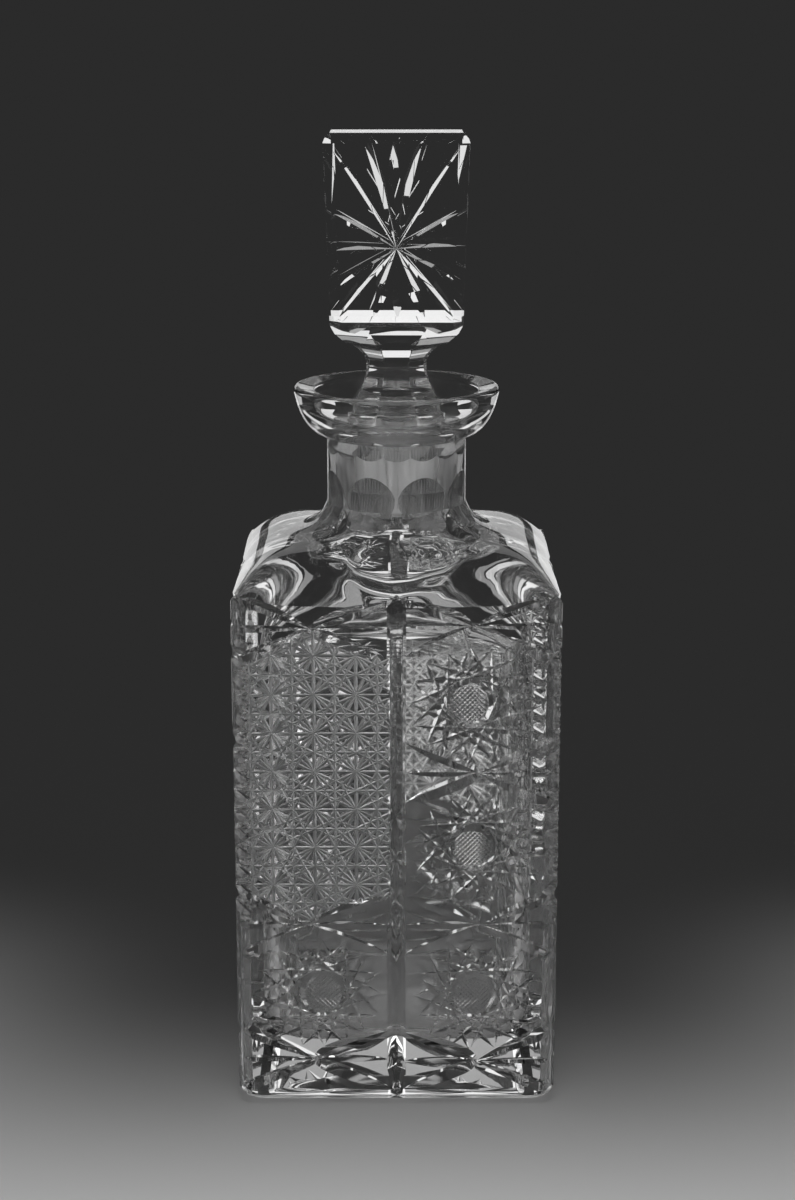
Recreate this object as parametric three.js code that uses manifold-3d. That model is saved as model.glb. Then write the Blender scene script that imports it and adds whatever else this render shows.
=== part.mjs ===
// Cut glass decanter: a square bottle with a domed shoulder, a fluted neck and a cup rim,
// and a slab stopper whose tapered plug seats in the neck.
// Millimetres, +Z up. The origin is the middle of the base; the front face looks along -Y.

import * as THREE from 'three';
import { mergeVertices } from 'three/addons/utils/BufferGeometryUtils.js';
import Module from 'manifold-3d';

const wasm = await Module();
wasm.setup();

// Body of the bottle
const bodyWidth = 95;
const cornerChamfer = 4.6;
const baseEdgeRadius = 5.5;
const wallTop = 151;
const wallThickness = 7.5;
const baseThickness = 17;

// Shoulder: a square pillow that rises from the top of the walls
const shoulderRise = 15.5;
const shoulderSquareness = 5.5;
const shoulderThickness = 6.5;
const flareRise = 9;
const flareReach = 3.5;
const shoulderStep = 0.6;
const shoulderCrowding = 1.6;
const neckCornerShare = 0.5;

// Neck, with long flutes that run down onto the shoulder
const neckRadius = 20.8;
const fluteCount = 8;
const fluteDepth = 1.1;
const fluteTop = 186;
const fluteReach = 7;
const fluteFade = 0.7;

// Cup rim
const cupBottom = 195.2;
const cupFullness = 28.5;
const cupFloor = 196.8;
const rimRadius = 30.65;
const rimTop = 210.4;
const rimEdge = 1.4;
const lipRadius = 24.2;
const lipDrop = 1.1;
const bowlHollow = 0.6;
const bowlLift = 1.5;

// Ground seat in the neck, and the plug that fits it
const seatTop = 198;
const seatBottom = 171.5;
const plugTopRadius = 15.8;
const plugTaper = 0.076;
const seatClearance = 0.3;
const plugTip = 173;
const plugTipBevel = 0.8;
const plugCollar = 1.6;
const plugShoulder = 1;

// Cavity
const cavitySquareness = 8;
const cavityFloorRadius = 7;
const cavityEdgeTurn = 6;

// Cuts on the four faces
const grooveWidth = 5.5;
const grooveDepth = 2.2;
const leafDepth = 1.35;
const crossLeafDepth = 0.95;
const leafHalfAngle = 55;
const leafRise = 9;
const leafOverlap = 0.4;
const leafOverrun = 0.8;
const topFanHeight = 147.8;
const middleFanHeight = 104.4;
const lowerFanHeight = 57.6;
const bottomFanHeight = 14.8;

// Hobstars: a raised button inside a sunk eight-point star
const hobstarHeights = [125.6, 81.4, 35.4];
const hobstarRadius = 16.5;
const hobstarWaist = 11.5;
const hobstarDepth = 0.9;
const buttonRadius = 7;

// Stopper
const headTop = 284.3;
const headBottom = 226;
const headTopWidth = 42.4;
const headBottomWidth = 38.4;
const headThickness = 22;
const headBevelWidth = 4;
const headBevelDepth = 2.4;
const headTopCorner = 2.4;
const headShoulder = 1;
const topEdgeBevel = 0.8;
const topFaceBevel = 0.6;
const footWidthShare = 0.86;
const footThicknessShare = 0.9;
const stemTop = 220;
const stemWaist = 216.5;
const stemRadius = 9.35;
const stemFootRadius = 14.6;
const stemFoot = 203.5;
const stemInPlug = 4;
const stemInHead = 0.5;
const bellWidthShare = 0.36;
const bellHeightShare = 0.6;
const starRays = 16;
const starRayDepth = 1.2;
const starReach = 26;

// Fineness of the round and lofted shapes
const pointsPerSide = 12;
const ringPoints = 4 * pointsPerSide;
const cutProud = 1;
const cutRunOut = 0.02;

const halfBody = bodyWidth / 2;
const flatHalf = halfBody - cornerChamfer;
const tau = 2 * Math.PI;

// A closed solid from a three.js geometry.
function solidOf(geometry) {
  const bare = geometry.clone();
  bare.deleteAttribute('normal');
  bare.deleteAttribute('uv');
  const merged = mergeVertices(bare, 1e-4);
  const mesh = new wasm.Mesh({
    numProp: 3,
    vertProperties: new Float32Array(merged.attributes.position.array),
    triVerts: new Uint32Array(merged.index.array),
  });
  return new wasm.Manifold(mesh);
}

// A three.js geometry from a finished solid.
function geometryOf(solid) {
  const mesh = solid.getMesh();
  const geometry = new THREE.BufferGeometry();
  geometry.setAttribute('position', new THREE.BufferAttribute(new Float32Array(mesh.vertProperties), 3));
  geometry.setIndex(new THREE.BufferAttribute(new Uint32Array(mesh.triVerts), 1));
  geometry.computeVertexNormals();
  return geometry;
}

// A closed skin over rings of equally many points; the first and last rings are closed by a fan.
function loft(rings) {
  const count = rings[0].length;
  const positions = [];
  const faces = [];
  for (const ring of rings) {
    for (const point of ring) positions.push(...point);
  }
  for (let r = 0; r + 1 < rings.length; r += 1) {
    for (let i = 0; i < count; i += 1) {
      const next = (i + 1) % count;
      const a = r * count + i;
      const b = r * count + next;
      const c = a + count;
      const d = b + count;
      faces.push(a, b, d, a, d, c);
    }
  }
  const middle = (ring) => {
    const sum = ring.reduce((s, p) => [s[0] + p[0], s[1] + p[1], s[2] + p[2]], [0, 0, 0]);
    return sum.map((value) => value / count);
  };
  const firstCentre = positions.length / 3;
  positions.push(...middle(rings[0]));
  const lastCentre = positions.length / 3;
  positions.push(...middle(rings[rings.length - 1]));
  const lastRing = (rings.length - 1) * count;
  for (let i = 0; i < count; i += 1) {
    const next = (i + 1) % count;
    faces.push(firstCentre, next, i);
    faces.push(lastCentre, lastRing + i, lastRing + next);
  }
  const geometry = new THREE.BufferGeometry();
  geometry.setAttribute('position', new THREE.Float32BufferAttribute(positions, 3));
  geometry.setIndex(faces);
  return geometry;
}

// Side number and step along the side of a ring point; step 0 is the middle of the face.
function ringPlace(index) {
  const half = pointsPerSide / 2;
  const side = Math.floor((index + half - 1) / pointsPerSide);
  return { side, step: index - side * pointsPerSide };
}

function ringAngle(index) {
  return (tau * index) / ringPoints;
}

// A point on a square with chamfered corners.
function squarePoint(index, half, chamfer) {
  const { side, step } = ringPlace(index);
  const lastStep = pointsPerSide / 2 - 1;
  const onCorner = step > lastStep;
  const along = onCorner ? half - chamfer / 2 : (step / lastStep) * (half - chamfer);
  const out = onCorner ? half - chamfer / 2 : half;
  const turn = (side * tau) / 4;
  return [out * Math.cos(turn) - along * Math.sin(turn), out * Math.sin(turn) + along * Math.cos(turn)];
}

// A point on a square with round corners, by the superellipse formula.
function softSquarePoint(index, half, squareness) {
  const angle = ringAngle(index);
  const c = Math.cos(angle);
  const s = Math.sin(angle);
  const reach = half / (Math.abs(c) ** squareness + Math.abs(s) ** squareness) ** (1 / squareness);
  return [reach * c, reach * s];
}

function ringOf(makePoint) {
  return Array.from({ length: ringPoints }, (_, index) => makePoint(index));
}

function roundRing(radius, z, flute = 0) {
  return ringOf((index) => {
    const angle = ringAngle(index);
    const r = radius - flute * Math.abs(Math.sin((fluteCount / 2) * angle));
    return [r * Math.cos(angle), r * Math.sin(angle), z];
  });
}

function blend(a, b, t) {
  return a + (b - a) * t;
}

// Height of the shoulder's outside above a point of the plan.
function shoulderHeight(x, y) {
  const u = Math.min(1, Math.abs(x) / halfBody) ** shoulderSquareness;
  const v = Math.min(1, Math.abs(y) / halfBody) ** shoulderSquareness;
  const beyondNeck = Math.max(0, Math.hypot(x, y) - neckRadius);
  const flute = fluteDepth * Math.abs(Math.sin((fluteCount / 2) * Math.atan2(y, x)));
  return (
    wallTop +
    shoulderRise * (1 - u) * (1 - v) +
    flareRise * Math.exp(-beyondNeck / flareReach) -
    flute * Math.exp(-beyondNeck / fluteReach)
  );
}

// Radius of the ground seat's plug at a height.
function plugRadius(z) {
  return plugTopRadius - plugTaper * (seatTop - z);
}

// Rings of the outside, from the base up to the cup.
function outsideRings() {
  const rings = [];
  const baseSteps = 3;
  for (let k = 0; k <= baseSteps; k += 1) {
    const angle = (k / baseSteps) * (tau / 4);
    const inset = baseEdgeRadius * (1 - Math.sin(angle));
    const z = baseEdgeRadius * (1 - Math.cos(angle));
    rings.push(ringOf((i) => [...squarePoint(i, halfBody - inset, cornerChamfer), z]));
  }
  rings.push(ringOf((i) => [...squarePoint(i, halfBody, cornerChamfer), wallTop]));
  const shoulderSteps = 8;
  for (let k = 0; k <= shoulderSteps; k += 1) {
    const t = k / shoulderSteps;
    const inward = t ** shoulderCrowding;
    const roundness = t * t;
    rings.push(
      ringOf((i) => {
        const half = blend(halfBody - shoulderStep, neckRadius, inward);
        const square = squarePoint(i, half, blend(cornerChamfer, neckRadius * neckCornerShare, t));
        const angle = ringAngle(i);
        const x = blend(square[0], half * Math.cos(angle), roundness);
        const y = blend(square[1], half * Math.sin(angle), roundness);
        return [x, y, shoulderHeight(x, y)];
      }),
    );
  }
  const fluteMiddle = (fluteTop + wallTop + shoulderRise + flareRise) / 2;
  rings.push(roundRing(neckRadius, fluteMiddle, fluteDepth * fluteFade));
  rings.push(roundRing(neckRadius, fluteTop));
  return rings;
}

// Rings of the cup, outside and inside, down to the top of the ground seat.
function cupRings() {
  const outside = new THREE.QuadraticBezierCurve(
    new THREE.Vector2(neckRadius, cupBottom),
    new THREE.Vector2(cupFullness, cupFloor),
    new THREE.Vector2(rimRadius, rimTop - rimEdge),
  );
  const inside = new THREE.QuadraticBezierCurve(
    new THREE.Vector2(lipRadius, rimTop - lipDrop),
    new THREE.Vector2(lipRadius - bowlHollow, seatTop + bowlLift),
    new THREE.Vector2(plugTopRadius + seatClearance, seatTop),
  );
  const rings = outside.getPoints(5).map((p) => roundRing(p.x, p.y));
  rings.push(roundRing(rimRadius - rimEdge, rimTop));
  inside.getPoints(4).forEach((p) => rings.push(roundRing(p.x, p.y)));
  return rings;
}

// Rings of the cavity, from the seat down to the floor.
function cavityRings() {
  const rings = [];
  const seatFootRadius = plugRadius(seatBottom) + seatClearance;
  const half = halfBody - wallThickness;
  const cavityTop = wallTop + shoulderRise - shoulderThickness;
  rings.push(roundRing(seatFootRadius, seatBottom));
  const steps = 5;
  for (let k = 1; k <= steps; k += 1) {
    const t = k / steps;
    const eased = Math.sin((t * tau) / 4);
    const reach = blend(seatFootRadius, half, eased);
    const z = k === steps ? wallTop - shoulderThickness : blend(seatBottom, cavityTop, eased);
    const drop = (wallTop - shoulderThickness - z) * t ** cavityEdgeTurn;
    rings.push(
      ringOf((i) => {
        const soft = softSquarePoint(i, reach, cavitySquareness);
        const angle = ringAngle(i);
        const x = blend(reach * Math.cos(angle), soft[0], t);
        const y = blend(reach * Math.sin(angle), soft[1], t);
        return [x, y, z + drop];
      }),
    );
  }
  const floorSteps = 3;
  for (let k = 0; k <= floorSteps; k += 1) {
    const angle = (k / floorSteps) * (tau / 4);
    const inset = cavityFloorRadius * (1 - Math.cos(angle));
    const z = baseThickness + cavityFloorRadius * (1 - Math.sin(angle));
    rings.push(ringOf((i) => [...softSquarePoint(i, half - inset, cavitySquareness), z]));
  }
  return rings;
}

// A mitre cut: a V groove along a line on a face, deepest in its middle and running out at its ends.
// The face plane is x across, y into the glass and z up, with y = 0 on the face.
function mitreCut(from, to, depth, { steps = 2, halfAngle = leafHalfAngle, even = false } = {}) {
  const across = Math.tan(THREE.MathUtils.degToRad(halfAngle));
  const length = Math.hypot(to[0] - from[0], to[1] - from[1]);
  const along = [(to[0] - from[0]) / length, (to[1] - from[1]) / length];
  const rings = [];
  for (let k = 0; k <= steps; k += 1) {
    const t = k / steps;
    const keel = even ? depth : depth * (1 - (2 * t - 1) ** 2) - cutRunOut;
    const half = (keel + cutProud) * across;
    const x = blend(from[0], to[0], t);
    const z = blend(from[1], to[1], t);
    rings.push([
      [x, keel, z],
      [x - along[1] * half, -cutProud, z + along[0] * half],
      [x + along[1] * half, -cutProud, z - along[0] * half],
    ]);
  }
  return solidOf(loft(rings));
}

// Moves a cut from the face plane onto one of the four sides.
function onSide(cut, side, distance) {
  const place = new THREE.Matrix4().makeTranslation(0, -distance, 0);
  const turn = new THREE.Matrix4().makeRotationZ((side * tau) / 4);
  return cut.transform(turn.multiply(place).toArray());
}

// Six leaves that spread from a point towards the centre groove and towards the corner.
function fanCuts(direction, height, lift) {
  const inner = direction * (grooveWidth / 2 - leafOverlap);
  const outer = direction * (flatHalf + leafOverrun);
  const centre = [(inner + outer) / 2, height];
  const cuts = [];
  for (const end of [inner, outer]) {
    cuts.push(mitreCut(centre, [end, height + lift], leafDepth));
    cuts.push(mitreCut(centre, [end, height], crossLeafDepth));
    cuts.push(mitreCut(centre, [end, height - leafRise], leafDepth));
  }
  return cuts;
}

// The sunk star around a button.
function hobstarCut(x, z) {
  const star = new THREE.Shape();
  const points = 8;
  for (let k = 0; k < 2 * points; k += 1) {
    const angle = (k * tau) / (2 * points);
    const radius = k % 2 === 0 ? hobstarRadius : hobstarWaist;
    const place = [radius * Math.cos(angle), radius * Math.sin(angle)];
    if (k === 0) star.moveTo(...place);
    else star.lineTo(...place);
  }
  star.closePath();
  const button = new THREE.Path();
  for (let k = 0; k < points; k += 1) {
    const angle = ((k + 0.5) * tau) / points;
    const place = [buttonRadius * Math.cos(angle), buttonRadius * Math.sin(angle)];
    if (k === 0) button.moveTo(...place);
    else button.lineTo(...place);
  }
  button.closePath();
  star.holes.push(button);
  const geometry = new THREE.ExtrudeGeometry(star, { depth: hobstarDepth + cutProud, bevelEnabled: false });
  geometry.rotateX(tau / 4);
  geometry.translate(x, hobstarDepth, z);
  return solidOf(geometry);
}

// Every cut of one face.
function faceCuts() {
  const grooveAngle = THREE.MathUtils.radToDeg(Math.atan(grooveWidth / 2 / grooveDepth));
  const grooveEnds = [[0, -cutProud], [0, wallTop + shoulderRise]];
  const cuts = [mitreCut(...grooveEnds, grooveDepth, { steps: 1, halfAngle: grooveAngle, even: true })];
  const column = (grooveWidth / 2 + flatHalf) / 2;
  for (const direction of [-1, 1]) {
    cuts.push(...fanCuts(direction, topFanHeight, leafRise));
    cuts.push(...fanCuts(direction, lowerFanHeight, leafRise));
    cuts.push(...fanCuts(direction, bottomFanHeight, leafRise));
  }
  cuts.push(...fanCuts(1, middleFanHeight, leafRise));
  hobstarHeights.forEach((height) => cuts.push(hobstarCut(column, height)));
  cuts.push(hobstarCut(-column, hobstarHeights[hobstarHeights.length - 1]));
  return cuts;
}

function makeBottle() {
  let bottle = solidOf(loft([...outsideRings(), ...cupRings(), ...cavityRings()]));
  for (const cut of faceCuts()) {
    for (let side = 0; side < 4; side += 1) bottle = bottle.subtract(onSide(cut, side, halfBody));
  }
  return geometryOf(bottle);
}

// A level section of the stopper's head: a rectangle with bevelled front and back edges.
function headSection(halfWidth, halfThickness, bevelWidth, bevelDepth, z) {
  const w = halfWidth;
  const t = halfThickness;
  const inW = halfWidth - bevelWidth;
  const inT = halfThickness - bevelDepth;
  const right = [[w, -inT, z], [w, inT, z]];
  const back = [[inW, t, z], [-inW, t, z]];
  const left = [[-w, inT, z], [-w, -inT, z]];
  const front = [[-inW, -t, z], [inW, -t, z]];
  return [...right, ...back, ...left, ...front];
}

// The slab, from its top bevel down to the facets that close onto the stem.
function makeHead() {
  const halfTop = headTopWidth / 2;
  const halfFoot = headBottomWidth / 2;
  const halfThick = headThickness / 2;
  const stem = stemRadius / Math.cos(tau / 16);
  const stemBevel = stem - stem * Math.sin(tau / 16);
  const topBevelled = halfThick - headBevelDepth;
  const middle = (stemTop + headBottom) / 2;
  const footWidth = halfFoot * footWidthShare;
  const footThickness = halfThick * footThicknessShare;
  const shoulder = headTop - headBevelWidth - headShoulder;
  return loft([
    headSection(stem, stem, stemBevel, stemBevel, stemTop),
    headSection(footWidth, footThickness, headBevelWidth, headBevelDepth, middle),
    headSection(halfFoot, halfThick, headBevelWidth, headBevelDepth, headBottom),
    headSection(halfTop, halfThick, headBevelWidth, headBevelDepth, shoulder),
    headSection(halfTop, topBevelled + topEdgeBevel, headBevelWidth, topEdgeBevel, headTop - headTopCorner),
    headSection(halfTop - headTopCorner, topBevelled, headBevelWidth, topFaceBevel, headTop),
  ]);
}

// The eight-sided stem, flaring from its waist to the plug.
function makeStem() {
  const flat = 1 / Math.cos(tau / 16);
  const profile = [
    [0, stemFoot - stemInPlug],
    [stemFootRadius * flat, stemFoot - stemInPlug],
    [stemFootRadius * flat, stemFoot],
    [blend(stemRadius, stemFootRadius, bellWidthShare) * flat, blend(stemWaist, stemFoot, bellHeightShare)],
    [stemRadius * flat, stemWaist],
    [stemRadius * flat, stemTop + stemInHead],
    [0, stemTop + stemInHead],
  ];
  const lathe = new THREE.LatheGeometry(profile.map(([r, z]) => new THREE.Vector2(r, z)), 8);
  lathe.rotateX(tau / 4);
  lathe.rotateZ(tau / 16);
  return lathe;
}

// The round plug, ground to the seat's taper.
function makePlug() {
  const collarTop = stemFoot - plugShoulder;
  const profile = [
    [0, plugTip],
    [plugRadius(plugTip) - plugTipBevel, plugTip],
    [plugRadius(plugTip), plugTip + plugTipBevel],
    [plugTopRadius, seatTop],
    [plugTopRadius, seatTop + plugCollar],
    [stemFootRadius, collarTop],
    [0, collarTop],
  ];
  const lathe = new THREE.LatheGeometry(profile.map(([r, z]) => new THREE.Vector2(r, z)), ringPoints);
  lathe.rotateX(tau / 4);
  return lathe;
}

// The cuts of the star on one side of the head.
function starCuts() {
  const middle = (headTop + headBottom) / 2;
  const halfWidth = headTopWidth / 2 - headBevelWidth;
  const cuts = [];
  for (let k = 0; k < starRays / 2; k += 1) {
    const angle = (k * tau) / starRays;
    const c = Math.cos(angle);
    const s = Math.sin(angle);
    const reach = Math.min(starReach, halfWidth / Math.abs(c));
    cuts.push(mitreCut([-reach * c, middle - reach * s], [reach * c, middle + reach * s], starRayDepth));
  }
  return cuts;
}

function makeStopper() {
  let stopper = solidOf(makeHead()).add(solidOf(makeStem())).add(solidOf(makePlug()));
  for (const cut of starCuts()) {
    stopper = stopper.subtract(onSide(cut, 0, headThickness / 2));
    stopper = stopper.subtract(onSide(cut, 2, headThickness / 2));
  }
  return geometryOf(stopper);
}

function crystal() {
  return new THREE.MeshStandardMaterial({ color: 0xe9eef0, roughness: 0.03, metalness: 0 });
}

function named(name, geometry) {
  const mesh = new THREE.Mesh(geometry, crystal());
  mesh.name = name;
  return mesh;
}

const decanter = new THREE.Group();
decanter.add(named('bottle', makeBottle()));
decanter.add(named('stopper', makeStopper()));

export default decanter;
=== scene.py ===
import bpy
import numpy as np
from math import cos, radians, sin
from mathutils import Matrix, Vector


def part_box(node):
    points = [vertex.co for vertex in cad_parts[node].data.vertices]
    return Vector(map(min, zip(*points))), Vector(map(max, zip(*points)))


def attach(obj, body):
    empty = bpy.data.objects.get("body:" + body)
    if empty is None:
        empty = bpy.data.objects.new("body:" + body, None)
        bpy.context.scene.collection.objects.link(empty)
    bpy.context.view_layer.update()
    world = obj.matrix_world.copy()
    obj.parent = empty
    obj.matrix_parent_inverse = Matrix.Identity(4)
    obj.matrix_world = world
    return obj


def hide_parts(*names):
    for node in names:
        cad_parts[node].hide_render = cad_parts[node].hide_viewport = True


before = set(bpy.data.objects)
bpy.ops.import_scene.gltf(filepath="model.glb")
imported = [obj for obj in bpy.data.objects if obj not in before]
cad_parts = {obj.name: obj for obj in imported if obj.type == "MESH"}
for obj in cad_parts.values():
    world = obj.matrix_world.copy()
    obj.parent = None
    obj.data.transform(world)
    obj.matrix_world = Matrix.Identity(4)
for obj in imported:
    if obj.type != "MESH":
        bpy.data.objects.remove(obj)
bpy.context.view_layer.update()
mm = 0.001  # sizes below are in millimetres
rng = np.random.default_rng(11)  # the small unevenness of hand cutting

# both pieces keep the outer sizes of their solids
bottleHigh = np.array(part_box("bottle")[1]) / mm
stopperLow, stopperHigh = (np.array(corner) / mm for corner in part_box("stopper"))
halfBody, rimTop = float(bottleHigh[0]), float(bottleHigh[2])
headHalf, headTop, plugTip = float(stopperHigh[0]), float(stopperHigh[2]), float(stopperLow[2])


# Shared shape tools

def blend(a, b, t):
    # a where t is 0, b where t is 1, and a straight line between
    return a + (b - a) * t


def bezier(points, count):
    # a quadratic curve as rows of (radius, height): three control points weighted by
    # (1 - t) squared, twice t (1 - t), and t squared
    p0, p1, p2 = (np.array(p, float) for p in points)
    t = np.linspace(0, 1, count)[:, None]
    return (1 - t) ** 2 * p0 + 2 * t * (1 - t) * p1 + t ** 2 * p2


def arc(centre, radii, start, end, count):
    # an ellipse arc as rows of (radius, height): the centre plus the radii times cosine and sine
    # of evenly spaced angles, given in degrees
    a = np.radians(np.linspace(start, end, count))
    return np.stack([centre[0] + radii[0] * np.cos(a), centre[1] + radii[1] * np.sin(a)], axis=1)


def meshPiece(name, verts, faces, satin=0.0):
    # a mesh object from millimetre points; satin says how soft the finish of each face is,
    # from 0 for polished to 1 for ground
    mesh = bpy.data.meshes.new(name)
    mesh.from_pydata((np.asarray(verts, float) * mm).tolist(), [], faces)
    finish = mesh.attributes.new("satin", "FLOAT", "FACE")
    values = np.broadcast_to(np.asarray(satin, np.float32), len(faces)).copy()
    finish.data.foreach_set("value", values)
    mesh.update()
    piece = bpy.data.objects.new(name, mesh)
    bpy.context.scene.collection.objects.link(piece)
    return piece


def turned(profile, sides, phase=0.0, closedRing=False):
    # a profile of (radius, height) carried round the axis: each point becomes a ring at its
    # radius times cosine and sine; a closed ring profile makes a collar
    profile = np.asarray(profile, float)
    a = 2 * np.pi * (np.arange(sides) / sides) + phase
    radius = profile[:, None, 0]
    height = np.broadcast_to(profile[:, None, 1], (len(profile), sides))
    return skin(np.stack([radius * np.cos(a), radius * np.sin(a), height], axis=2), closedRing)


def skin(rows, closedRing=False, gaps=()):
    # four-cornered faces between neighbouring rows of equally many points, each row closed on
    # itself; a row named in gaps gets none above it, and the ends get one flat face each
    count, width = rows.shape[:2]
    i = np.arange(width)
    nextI = (i + 1) % width
    faces = []
    for r in range(count if closedRing else count - 1):
        if r in gaps:
            continue
        low, high = r * width, (r + 1) % count * width
        faces += np.stack([low + i, low + nextI, high + nextI, high + i], axis=1).tolist()
    if not closedRing:
        faces.append(list(range(width))[::-1])
        faces.append(list(range((count - 1) * width, count * width)))
    return rows.reshape(-1, 3), faces


def together(shapes):
    # several shapes, each of points and faces, as one
    verts, faces, first = [], [], 0
    for points, corners in shapes:
        verts.append(points)
        faces += [[i + first for i in face] for face in corners]
        first += len(points)
    return np.concatenate(verts), faces


def quarterTurned(x, y, turns):
    # x and y turned about the axis by that many quarter turns, by cosine and sine
    c, s = np.cos(turns * np.pi / 2), np.sin(turns * np.pi / 2)
    return x * c - y * s, x * s + y * c


def onSides(shape, distance, sides=(0, 1, 2, 3)):
    # repeats a face's cuts on the chosen sides, at that distance from the axis; side 0 is at -Y
    verts, faces = shape
    copies = []
    for side in sides:
        x, y = quarterTurned(verts[:, 0], verts[:, 1] - distance, side)
        copies.append((np.stack([x, y, verts[:, 2]], axis=1), faces))
    return together(copies)


def carve(piece, tools, operation="DIFFERENCE"):
    # takes the tools away from the piece, or adds them, one after another, and leaves one mesh;
    # it takes tools whose faces point outwards
    for tool in tools:
        cut = piece.modifiers.new("cut", "BOOLEAN")
        cut.operation = operation
        cut.solver = "MANIFOLD"
        cut.object = tool
    graph = bpy.context.evaluated_depsgraph_get()
    finished = bpy.data.meshes.new_from_object(piece.evaluated_get(graph), depsgraph=graph)
    finished.materials.clear()
    piece.modifiers.clear()
    piece.data = finished
    for tool in tools:
        bpy.data.objects.remove(tool)


# how a carved mesh is finished: edges are crisp above an angle, planes above an area in square
# millimetres stay flat, and a face softer than a satin value takes the second material; two
# faces share a plane when normal and distance agree to one part in so many steps
polishing = dict(sharpAbove=22, flatAbove=40.0, softAbove=0.4, turnSteps=250, placeSteps=20)


def flatFaces(mesh):
    # which faces belong to a large plane: adds up the areas of all faces of the same plane
    count = len(mesh.polygons)
    normal, centre, area = np.empty(count * 3), np.empty(count * 3), np.empty(count)
    mesh.polygons.foreach_get("normal", normal)
    mesh.polygons.foreach_get("center", centre)
    mesh.polygons.foreach_get("area", area)
    normal, centre = normal.reshape(-1, 3), centre.reshape(-1, 3) / mm
    offset = (normal * centre).sum(axis=1)
    keys = np.column_stack([np.round(normal * polishing["turnSteps"]),
                            np.round(offset * polishing["placeSteps"])])
    plane = np.unique(keys, axis=0, return_inverse=True)[1].reshape(-1)
    return np.bincount(plane, area / mm ** 2)[plane] > polishing["flatAbove"]


def polish(piece):
    # smooth shading, but flat on the large planes and crisp along the cuts
    mesh = piece.data
    satin = np.empty(len(mesh.polygons), np.float32)
    mesh.attributes["satin"].data.foreach_get("value", satin)
    soft = satin > polishing["softAbove"]
    mesh.polygons.foreach_set("material_index", soft.astype(np.int32))
    mesh.polygons.foreach_set("use_smooth", ~flatFaces(mesh))
    mesh.set_sharp_from_angle(angle=np.radians(polishing["sharpAbove"]))
    mesh.update()


def grooves(starts, ends, depth, keel, stations, flanks, proud=1.2):
    # wheel cuts on a flat face, as points of (across, depth, up): each is a V whose keel runs
    # from start to end at depth times keel(t); its lips stand proud of the face, away from the
    # keel by the height between them times the tangent of the left or right flank's angle
    starts = np.asarray(starts, float)
    ends = np.asarray(ends, float)
    number = len(starts)
    t = np.asarray(stations, float)
    steps = len(t)
    deep = np.broadcast_to(np.asarray(depth, float), number)[:, None] * keel(t)[None, :]
    run = ends - starts
    along = run / np.linalg.norm(run, axis=1, keepdims=True)
    left = np.stack([-along[:, 1], along[:, 0]], axis=1)[:, None, :]
    spine = starts[:, None, :] + run[:, None, :] * t[None, :, None]
    outside = np.full((number, steps), -proud)
    verts = np.empty((number, steps, 3, 3))
    verts[:, :, 0] = np.stack([spine[:, :, 0], deep, spine[:, :, 1]], axis=2)
    for corner, sign, flank in ((1, 1, flanks[0]), (2, -1, flanks[1])):
        lip = spine + sign * left * ((deep + proud) * np.tan(np.radians(flank)))[:, :, None]
        verts[:, :, corner] = np.stack([lip[:, :, 0], outside, lip[:, :, 1]], axis=2)
    first = np.arange(number)[:, None, None] * steps * 3
    station = first + np.arange(steps - 1)[None, :, None] * 3
    walls = station[..., None] + np.array([[0, 1, 4, 3], [1, 2, 5, 4], [2, 0, 3, 5]])
    low = first[:, 0] + np.array([[0, 2, 1]])
    high = first[:, 0] + (steps - 1) * 3 + np.array([[0, 1, 2]])
    return verts.reshape(-1, 3), walls.reshape(-1, 4).tolist() + low.tolist() + high.tolist()


endLift = 0.012  # a cut's ends stand off the face by this share of its depth


def even(t):
    # the same depth from end to end
    return np.ones_like(t)


def lens(t):
    # a wheel's arc: one less the square of the distance from the middle, so deepest there
    return 1 - (2 * t - 1) ** 2 - endLift


def leaf(t, skew=0.7, bluntness=3):
    # a longer cut: blunt where it starts, widest before the half, pointed at its end; one less
    # the distance from the middle of the skewed t, raised to the bluntness
    return 1 - np.abs(2 * t ** skew - 1) ** bluntness - endLift


# The bottle before cutting

bottle = dict(
    cornerRadius=5.0, chamfer=4.6, baseEdge=5.5, baseEdgeSteps=8,
    underside=((12.0, 0.6), (10.0, 0.5), (8.5, 0.0)),  # inset and height of the hollow's rows
    shoulderEdge=154.0, shoulderRise=12.5, shoulderPower=7.0, shoulderSteps=26,
    shoulderSpread=1.25, cornerLift=2.0, liftPower=3, innerCorner=0.6,
    neckRadius=20.8, neckRings=(181.0, 188.0), flareRise=9.0, flareReach=3.5,
    cupBottom=195.2, cupFull=(28.5, 196.8), cupSteps=15,
    rimRadius=30.65, rimRound=1.3, rimArc=(18, 90), roundSteps=5,
    lipRadius=24.4, lipDrop=1.0, lipRound=0.9, lipArc=(100, 180),
    bowlDrop=1.4, bowl=(24.4, 200.4), bowlFoot=(15.2, 199.4), bowlSteps=12,
    seatTop=197.5, seatBottom=171.5, seatRadius=13.5, seatTaper=0.072,
    seatLead=(0.5, 0.4), seatLeadDrop=0.1,
    cavityHalf=40.0, cavityCorner=11.0, cavityEdge=137.0, cavityRise=19.0,
    cavityPower=3.2, cavityFullness=0.5, throatReach=6.5, throatMargin=0.01,
    insideRows=34, insideSpread=2.3, insideHaze=0.2,
    floor=17.0, floorRound=9.0, floorSteps=8, floorCorner=0.3,
    faceSteps=32, cornerSteps=6,
    # the uneven inside: height, rings per mm, sway, its lobes and phase; then the lobes round the
    # throat, their phase and height, and how far they twist for each mm
    ripple=0.16, rippleRings=((0.9, 0.62, 1.4, 3, 0.5), (0.5, 1.05, 1.0, 5, 0.0)),
    rippleLobes=((7, 0.4, 0.8), (11, 1.9, 0.6), (17, 2.6, 0.4)), rippleTwist=0.11, rippleFade=0.7,
)


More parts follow.
